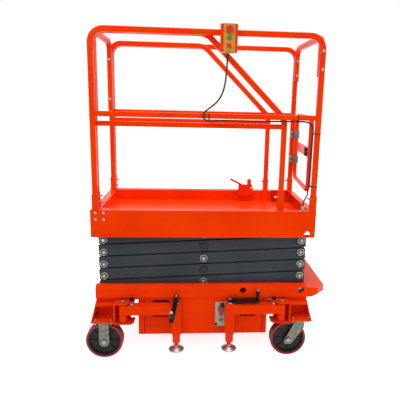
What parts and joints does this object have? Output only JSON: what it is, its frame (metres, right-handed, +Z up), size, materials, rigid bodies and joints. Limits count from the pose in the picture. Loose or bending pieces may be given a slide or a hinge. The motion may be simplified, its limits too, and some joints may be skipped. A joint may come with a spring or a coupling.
{
  "type": "scissor lift",
  "caption": "Push-along mobile scissor lift: caster chassis with fold-out jacks, stacked crossing arms, and a railed deck with a roll-out section and entry gate.",
  "frame": {"origin": "centre of the whole machine's footprint at floor level", "axes": "+X along the deck towards the entry gate and step, +Y away from the side with the ground controls, +Z up"},
  "size_m": [1.3094, 0.9884, 1.753],
  "materials": {
    "black_plastic": "moulded",
    "chrome": "ground and plated",
    "cord_rubber": "matt",
    "dark_paint": "satin powder coat",
    "hinge_grey": "cast",
    "hub_plastic": "moulded",
    "jack_paint": "satin powder coat",
    "latch_paint": "satin powder coat",
    "orange": "satin powder coat",
    "panel_grey": "moulded",
    "pendant_case": "moulded",
    "polyurethane": "moulded polyurethane",
    "zinc": "zinc plated"
  },
  "bodies": {
    "chassis": {"chassis_frame": "orange", "step_plate": "orange", "power_housing": "orange", "corner_brackets": "orange", "ground_controls": "panel_grey", "caster_mounts": "zinc"},
    "wheel_front_left": {"tyre_front_left": "polyurethane", "hub_front_left": "hub_plastic"},
    "swivel_front_right": {"swivel_fork_front_right": "zinc"},
    "wheel_front_right": {"tyre_front_right": "polyurethane", "hub_front_right": "hub_plastic"},
    "wheel_rear_left": {"tyre_rear_left": "polyurethane", "hub_rear_left": "hub_plastic"},
    "swivel_rear_right": {"swivel_fork_rear_right": "zinc"},
    "wheel_rear_right": {"tyre_rear_right": "polyurethane", "hub_rear_right": "hub_plastic"},
    "outrigger_front_left": {"outrigger_arm_front_left": "orange", "outrigger_fittings_front_left": "black_plastic"},
    "jack_front_left": {"jack_leg_front_left": "jack_paint"},
    "outrigger_front_right": {"outrigger_arm_front_right": "orange", "outrigger_fittings_front_right": "black_plastic"},
    "jack_front_right": {"jack_leg_front_right": "jack_paint"},
    "outrigger_rear_left": {"outrigger_arm_rear_left": "orange", "outrigger_fittings_rear_left": "black_plastic"},
    "jack_rear_left": {"jack_leg_rear_left": "jack_paint"},
    "outrigger_rear_right": {"outrigger_arm_rear_right": "orange", "outrigger_fittings_rear_right": "black_plastic"},
    "jack_rear_right": {"jack_leg_rear_right": "jack_paint"},
    "outer_1": {"scissor_outer_1": "dark_paint"},
    "inner_1": {"scissor_inner_1": "dark_paint"},
    "outer_2": {"scissor_outer_2": "dark_paint"},
    "inner_2": {"scissor_inner_2": "dark_paint"},
    "outer_3": {"scissor_outer_3": "dark_paint"},
    "inner_3": {"scissor_inner_3": "dark_paint"},
    "outer_4": {"scissor_outer_4": "dark_paint"},
    "inner_4": {"scissor_inner_4": "dark_paint"},
    "outer_5": {"scissor_outer_5": "dark_paint"},
    "inner_5": {"scissor_inner_5": "dark_paint"},
    "deck": {"main_deck": "orange", "main_guard_rails": "orange", "gate_hinges": "hinge_grey", "control_pendant": "pendant_case", "pendant_cord": "cord_rubber", "cord_fittings": "zinc"},
    "rollout": {"rollout_deck": "orange", "rollout_guard_rails": "orange", "deck_latch": "latch_paint"},
    "gate": {"entry_gate": "orange", "gate_latch": "black_plastic"},
    "lift_barrel": {"lift_barrel": "dark_paint"},
    "lift_rod": {"lift_rod": "chrome"}
  },
  "joints": [
    {"name": "wheel_front_left", "type": "hinge", "parent": "chassis", "child": "wheel_front_left", "pos_m": [-0.55475, -0.276, 0.1], "axis": [0, 1, 0], "continuous": true},
    {"name": "swivel_front_right", "type": "hinge", "parent": "chassis", "child": "swivel_front_right", "pos_m": [0.52025, -0.276, 0.207], "axis": [0, 0, 1], "continuous": true},
    {"name": "wheel_front_right", "type": "hinge", "parent": "swivel_front_right", "child": "wheel_front_right", "pos_m": [0.45825, -0.276, 0.1], "axis": [0, 1, 0], "continuous": true},
    {"name": "wheel_rear_left", "type": "hinge", "parent": "chassis", "child": "wheel_rear_left", "pos_m": [-0.55475, 0.276, 0.1], "axis": [0, 1, 0], "continuous": true},
    {"name": "swivel_rear_right", "type": "hinge", "parent": "chassis", "child": "swivel_rear_right", "pos_m": [0.52025, 0.276, 0.207], "axis": [0, 0, 1], "continuous": true},
    {"name": "wheel_rear_right", "type": "hinge", "parent": "swivel_rear_right", "child": "wheel_rear_right", "pos_m": [0.45825, 0.276, 0.1], "axis": [0, 1, 0], "continuous": true},
    {"name": "outrigger_front_left", "type": "hinge", "parent": "chassis", "child": "outrigger_front_left", "pos_m": [-0.44725, -0.325, 0.29], "axis": [0, 0, -1], "range_deg": [0, 90]},
    {"name": "jack_front_left", "type": "slide", "parent": "outrigger_front_left", "child": "jack_front_left", "axis": [0, 0, -1], "range_m": [0, 0.09]},
    {"name": "outrigger_front_right", "type": "hinge", "parent": "chassis", "child": "outrigger_front_right", "pos_m": [0.40775, -0.325, 0.29], "axis": [0, 0, 1], "range_deg": [0, 90]},
    {"name": "jack_front_right", "type": "slide", "parent": "outrigger_front_right", "child": "jack_front_right", "axis": [0, 0, -1], "range_m": [0, 0.09]},
    {"name": "outrigger_rear_left", "type": "hinge", "parent": "chassis", "child": "outrigger_rear_left", "pos_m": [-0.44725, 0.325, 0.29], "axis": [0, 0, 1], "range_deg": [0, 90]},
    {"name": "jack_rear_left", "type": "slide", "parent": "outrigger_rear_left", "child": "jack_rear_left", "axis": [0, 0, -1], "range_m": [0, 0.09]},
    {"name": "outrigger_rear_right", "type": "hinge", "parent": "chassis", "child": "outrigger_rear_right", "pos_m": [0.40775, 0.325, 0.29], "axis": [0, 0, -1], "range_deg": [0, 90]},
    {"name": "jack_rear_right", "type": "slide", "parent": "outrigger_rear_right", "child": "jack_rear_right", "axis": [0, 0, -1], "range_m": [0, 0.09]},
    {"name": "scissor_lift", "type": "hinge", "parent": "chassis", "child": "outer_1", "pos_m": [-0.55378, 0, 0.39], "axis": [0, -1, 0], "range_deg": [0, 36.4]},
    {"name": "pivot_inner_1", "type": "hinge", "parent": "outer_1", "child": "inner_1", "pos_m": [-0.01975, 0, 0.4235], "axis": [0, -1, 0], "range_deg": [-72.8, 0]},
    {"name": "pivot_inner_2", "type": "hinge", "parent": "outer_1", "child": "inner_2", "pos_m": [0.51428, 0, 0.457], "axis": [0, -1, 0], "range_deg": [-72.8, 0]},
    {"name": "pivot_outer_2", "type": "hinge", "parent": "inner_2", "child": "outer_2", "pos_m": [-0.01975, 0, 0.4905], "axis": [0, -1, 0], "range_deg": [0, 72.8]},
    {"name": "pivot_outer_3", "type": "hinge", "parent": "inner_2", "child": "outer_3", "pos_m": [-0.55378, 0, 0.524], "axis": [0, -1, 0], "range_deg": [0, 72.8]},
    {"name": "pivot_inner_3", "type": "hinge", "parent": "outer_3", "child": "inner_3", "pos_m": [-0.01975, 0, 0.5575], "axis": [0, -1, 0], "range_deg": [-72.8, 0]},
    {"name": "pivot_inner_4", "type": "hinge", "parent": "outer_3", "child": "inner_4", "pos_m": [0.51428, 0, 0.591], "axis": [0, -1, 0], "range_deg": [-72.8, 0]},
    {"name": "pivot_outer_4", "type": "hinge", "parent": "inner_4", "child": "outer_4", "pos_m": [-0.01975, 0, 0.6245], "axis": [0, -1, 0], "range_deg": [0, 72.8]},
    {"name": "pivot_outer_5", "type": "hinge", "parent": "inner_4", "child": "outer_5", "pos_m": [-0.55378, 0, 0.658], "axis": [0, -1, 0], "range_deg": [0, 72.8]},
    {"name": "pivot_inner_5", "type": "hinge", "parent": "outer_5", "child": "inner_5", "pos_m": [-0.01975, 0, 0.6915], "axis": [0, -1, 0], "range_deg": [-72.8, 0]},
    {"name": "pivot_deck", "type": "hinge", "parent": "inner_5", "child": "deck", "pos_m": [-0.55378, 0, 0.725], "axis": [0, -1, 0], "range_deg": [0, 36.4]},
    {"name": "rollout_slide", "type": "slide", "parent": "deck", "child": "rollout", "axis": [-1, 0, 0], "range_m": [0, 0.5]},
    {"name": "gate_swing", "type": "hinge", "parent": "deck", "child": "gate", "pos_m": [0.57475, 0.251, 1.12], "axis": [0, 0, -1], "range_deg": [0, 68]},
    {"name": "barrel_swing", "type": "hinge", "parent": "inner_1", "child": "lift_barrel", "pos_m": [0.39981, 0, 0.40426], "axis": [0, -1, 0], "range_deg": [-23.52, 0]},
    {"name": "rod_slide", "type": "slide", "parent": "lift_barrel", "child": "lift_rod", "axis": [-0.9908, 0, 0.1352], "range_m": [0, 0.48466]}
  ],
  "couplings": [
    {"joint": "pivot_inner_1", "follows": "scissor_lift", "ratio": -2},
    {"joint": "pivot_inner_2", "follows": "scissor_lift", "ratio": -2},
    {"joint": "pivot_outer_2", "follows": "scissor_lift", "ratio": 2},
    {"joint": "pivot_outer_3", "follows": "scissor_lift", "ratio": 2},
    {"joint": "pivot_inner_3", "follows": "scissor_lift", "ratio": -2},
    {"joint": "pivot_inner_4", "follows": "scissor_lift", "ratio": -2},
    {"joint": "pivot_outer_4", "follows": "scissor_lift", "ratio": 2},
    {"joint": "pivot_outer_5", "follows": "scissor_lift", "ratio": 2},
    {"joint": "pivot_inner_5", "follows": "scissor_lift", "ratio": -2},
    {"joint": "pivot_deck", "follows": "scissor_lift", "ratio": 1},
    {"joint": "barrel_swing", "follows": "scissor_lift", "ratio": -0.64623},
    {"joint": "rod_slide", "follows": "scissor_lift", "m_per_rad": 0.76288}
  ]
}
